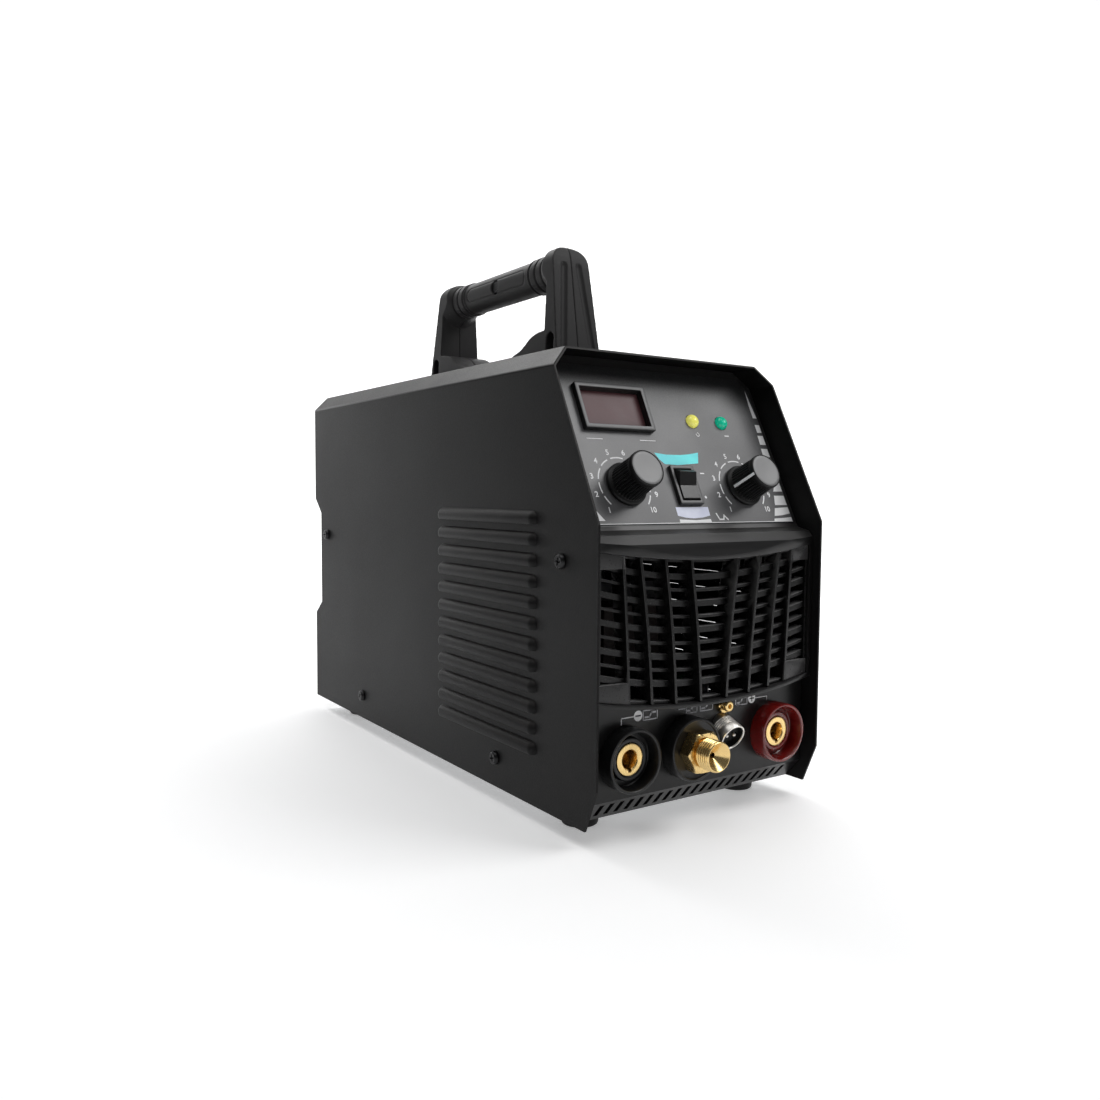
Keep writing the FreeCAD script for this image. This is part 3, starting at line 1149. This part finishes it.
def gas_valve():
    """Solenoid valve behind the gas inlet: brass block with a coil on top."""
    x, z = GAS_INLET
    rear = REAR_FACE - 14.1
    block = box(x - 9, x + 9, rear - 24, rear, z - 8, z + 8)
    coil = box(x - 11, x + 11, rear - 22, rear - 2, z + 8, z + 34)
    cap = rod((x, rear - 12, z + 34), (0, 0, 1), 5.0, 5.0)
    port = rod((x, rear - 24, z), OUT, 3.0, 8.0)
    return join([block, coil, cap, port])


HOSE_RADIUS = 4.0


def gas_hose():
    """Hose from the valve down to the torch connector's tail, clear of the boards."""
    x, z = GAS_INLET
    points = [Vector(x, REAR_FACE - 14.1 - 24 - 8.1, z), Vector(x, 96, z), Vector(-64, 40, 160),
              Vector(-64, -60, 150), Vector(-64, -118, 140), Vector(-62, -134, 104), Vector(-40, -140, 70),
              Vector(TORCH_X - 6, -138, 46)]
    return rounded_tube(points, HOSE_RADIUS)


def rounded_tube(points, radius):
    """Tube along straight runs joined by tangent arcs."""
    edges = []
    last = points[0]
    for before, corner, after in zip(points, points[1:], points[2:]):
        back = (before - corner).normalize()
        ahead = (after - corner).normalize()
        turn = math.pi - back.getAngle(ahead)
        trim = 0.45 * min((before - corner).Length, (after - corner).Length)
        start = corner + back * trim
        end = corner + ahead * trim
        bend = trim / math.tan(turn / 2)
        bisector = (back + ahead).normalize()
        middle = corner + bisector * (bend / math.cos(turn / 2) - bend)
        edges.append(Part.LineSegment(last, start).toShape())
        edges.append(Part.Arc(start, middle, end).toShape())
        last = end
    edges.append(Part.LineSegment(last, points[-1]).toShape())
    path = Part.Wire(edges)
    direction = (points[1] - points[0]).normalize()
    section = Part.Wire(Part.makeCircle(radius, points[0], direction))
    return path.makePipeShell([section], True, False)


# ---- all of it ----------------------------------------------------------------------------------------
CURRENT_POINTER = -100.0
GAS_TIME_POINTER = 60.0


def main():
    os.makedirs("parts", exist_ok=True)
    save("top_cover", top_cover())
    save("base_pan", base_pan())
    save("front_bezel", front_bezel())
    save("front_grille", front_grille())
    save("control_label", control_label())
    save("meter_bezel", meter_bezel())
    save("meter_window", meter_window())
    save("meter_board", meter_board())
    save("overload_lamp", lamp(LAMPS[0]))
    save("power_lamp", lamp(LAMPS[1]))
    for name, x, pointer in (("gas_time", -DIAL_X, GAS_TIME_POINTER), ("current", DIAL_X, CURRENT_POINTER)):
        save(name + "_knob", knob(x, pointer))
        save(name + "_knob_cap", knob_cap(x))
        save(name + "_shaft", knob_shaft(x, pointer))
    save("potentiometers", Part.makeCompound([potentiometer(x) for x in (-DIAL_X, DIAL_X)]))
    save("mode_switch_frame", placed(rocker_frame(SWITCH[2], SWITCH[3], 15.0), FRONT_SWITCH))
    save("mode_rocker", placed(rocker(SWITCH[2], SWITCH[3], ROCKER_TILT), FRONT_SWITCH))
    width, height = REAR_SWITCH_SIZE
    save("mains_switch_frame", placed(rocker_frame(width, height, 20.0), REAR_SWITCH))
    save("mains_rocker", placed(rocker(width, height, ROCKER_TILT), REAR_SWITCH))
    for name, x in (("negative", -SOCKET_X), ("positive", SOCKET_X)):
        save(name + "_socket_shell", socket_shell(x))
        save(name + "_socket_contact", socket_contact(x))
    save("busbars", Part.makeCompound([busbar(-1), busbar(1)]))
    save("torch_boss", torch_boss())
    save("torch_fitting", torch_fitting())
    save("trigger_socket_shell", trigger_shell())
    save("trigger_socket_insert", trigger_insert())
    save("trigger_socket_pins", trigger_pins())
    save("gas_outlet", gas_outlet())
    save("rear_panel", rear_panel())
    save("fan_frame", fan_frame())
    save("fan_rotor", fan_rotor())
    save("fan_guard", fan_guard())
    save("fan_screws", fan_screws())
    save("cable_gland", cable_gland())
    save("gland_nuts", Part.makeCompound([gland_nut(), gland_locknut()]))
    save("gas_inlet", gas_inlet())
    save("gas_valve", gas_valve())
    save("gas_hose", gas_hose())
    save("earth_stud", earth_stud())
    left, right = handle_halves()
    save("handle_left_half", left)
    save("handle_right_half", right)
    save("handle_screws", handle_screws())
    save("handle_clamp_screw", handle_clamp_screw())
    save("cover_screws", cover_screws())
    save("rubber_feet", rubber_feet())
    save("foot_screws", foot_screws())
    save("board_standoffs", board_standoffs())
    save("main_board", main_board())
    save("heat_sinks", Part.makeCompound([heat_sink(-1), heat_sink(1)]))
    save("power_transistors", power_transistors())
    save("bus_capacitors", bus_capacitors())
    save("transformer_core", transformer_core())
    save("transformer_winding", transformer_winding())
    save("output_choke", output_choke())
    save("start_coil", start_coil())
    save("control_board", control_board())


main()
